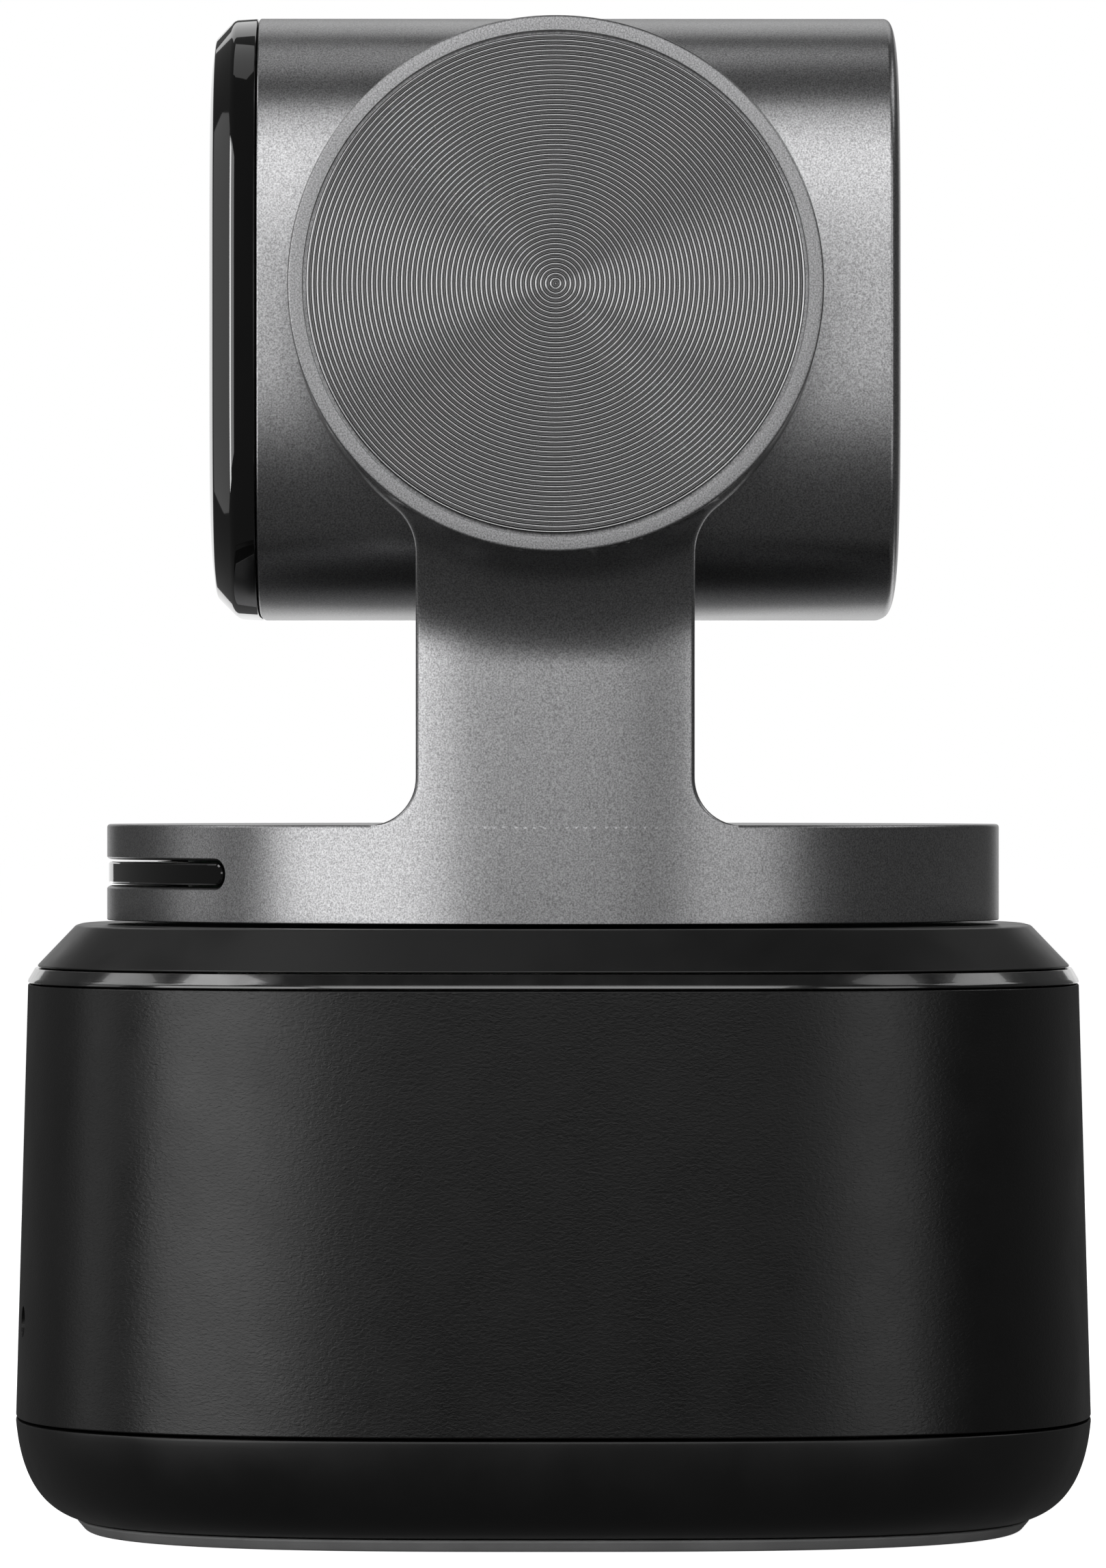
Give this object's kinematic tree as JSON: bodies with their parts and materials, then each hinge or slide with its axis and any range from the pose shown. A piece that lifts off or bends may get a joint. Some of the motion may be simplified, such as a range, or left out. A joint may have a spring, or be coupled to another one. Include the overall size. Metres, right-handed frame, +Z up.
{
  "type": "ptz camera",
  "caption": "Desktop pan-tilt camera: a black rounded-square base carries a metal turntable whose single arm holds a tilting camera head.",
  "frame": {"origin": "centre of the foot's underside", "axes": "+Z up along the pan axis, -Y the way the lens looks at rest, +X the side the arm stands on"},
  "size_m": [0.0486, 0.0486, 0.068],
  "materials": {
    "foot_rubber": "soft matte grey silicone rubber",
    "satin_black": "smooth satin black moulded plastic",
    "grain_black": "charcoal moulded plastic with a very fine leather-like grain",
    "gloss_black": "polished piano black",
    "steel": "satin steel",
    "brass": "machined brass",
    "cast_metal": "die-cast, as cast",
    "windings": "enamelled copper wire on a stack of laminations",
    "circuit": "solder mask over glass fibre",
    "chip": "moulded chip package",
    "matte_black": "matte black moulded plastic",
    "anodised": "bead-blasted grey anodised aluminium",
    "magnet": "nickel-plated magnet",
    "ridged_disc": "turned aluminium with fine concentric ridges",
    "flex_film": "amber polyimide film",
    "clear_glass": "clear coated glass",
    "filter_glass": "coated lens glass"
  },
  "bodies": {
    "base": {"foot_pad": "foot_rubber", "bottom_cup": "satin_black", "base_shell": "grain_black", "trim_ring": "gloss_black", "top_cover": "satin_black", "base_plate": "steel", "tripod_insert": "brass", "base_frame": "cast_metal", "motor_plate": "steel", "pan_motor_stator": "windings", "pan_bearing_upper": "steel", "pan_bearing_lower": "steel", "main_board": "circuit", "processor_chip": "chip", "board_connector": "matte_black", "usb_c_receptacle": "steel", "usb_c_tongue": "matte_black", "mic_capsule_right": "matte_black", "mic_capsule_left": "matte_black", "base_screw_1": "steel", "base_screw_2": "steel", "base_screw_3": "steel", "base_screw_4": "steel"},
    "turntable": {"turntable_arm": "anodised", "status_window": "gloss_black", "led_board": "circuit", "turntable_plate": "steel", "pan_shaft": "steel", "pan_rotor": "magnet", "disc_cap": "ridged_disc", "tilt_motor_stator": "windings", "tilt_bearing": "steel", "arm_flex_cable": "flex_film", "arm_inner_cover": "satin_black", "turntable_screw_1": "steel", "turntable_screw_2": "steel", "turntable_screw_3": "steel"},
    "head": {"head_shell": "anodised", "front_bezel": "gloss_black", "front_panel": "gloss_black", "lens_window": "clear_glass", "lens_hood": "matte_black", "lens_housing": "matte_black", "focus_magnet_ring": "magnet", "ir_filter": "filter_glass", "image_sensor": "chip", "sensor_board": "circuit", "heat_spreader": "cast_metal", "tilt_shaft": "steel", "tilt_rotor": "magnet", "board_screw_1": "steel", "board_screw_2": "steel", "board_screw_3": "steel", "board_screw_4": "steel"},
    "lens_group": {"lens_barrel": "matte_black", "lens_element_front": "filter_glass", "lens_element_rear": "filter_glass", "focus_coil": "windings"}
  },
  "joints": [
    {"name": "pan", "type": "hinge", "parent": "base", "child": "turntable", "pos_m": [0, 0, 0.02739], "axis": [0, 0, 1], "range_deg": [-150, 150]},
    {"name": "tilt", "type": "hinge", "parent": "turntable", "child": "head", "pos_m": [0, 0, 0.05534], "axis": [1, 0, 0], "range_deg": [-35, 90]},
    {"name": "focus", "type": "slide", "parent": "head", "child": "lens_group", "axis": [0, -1, 0], "range_m": [0, 0.00035], "stiffness_N_per_m": 100}
  ]
}
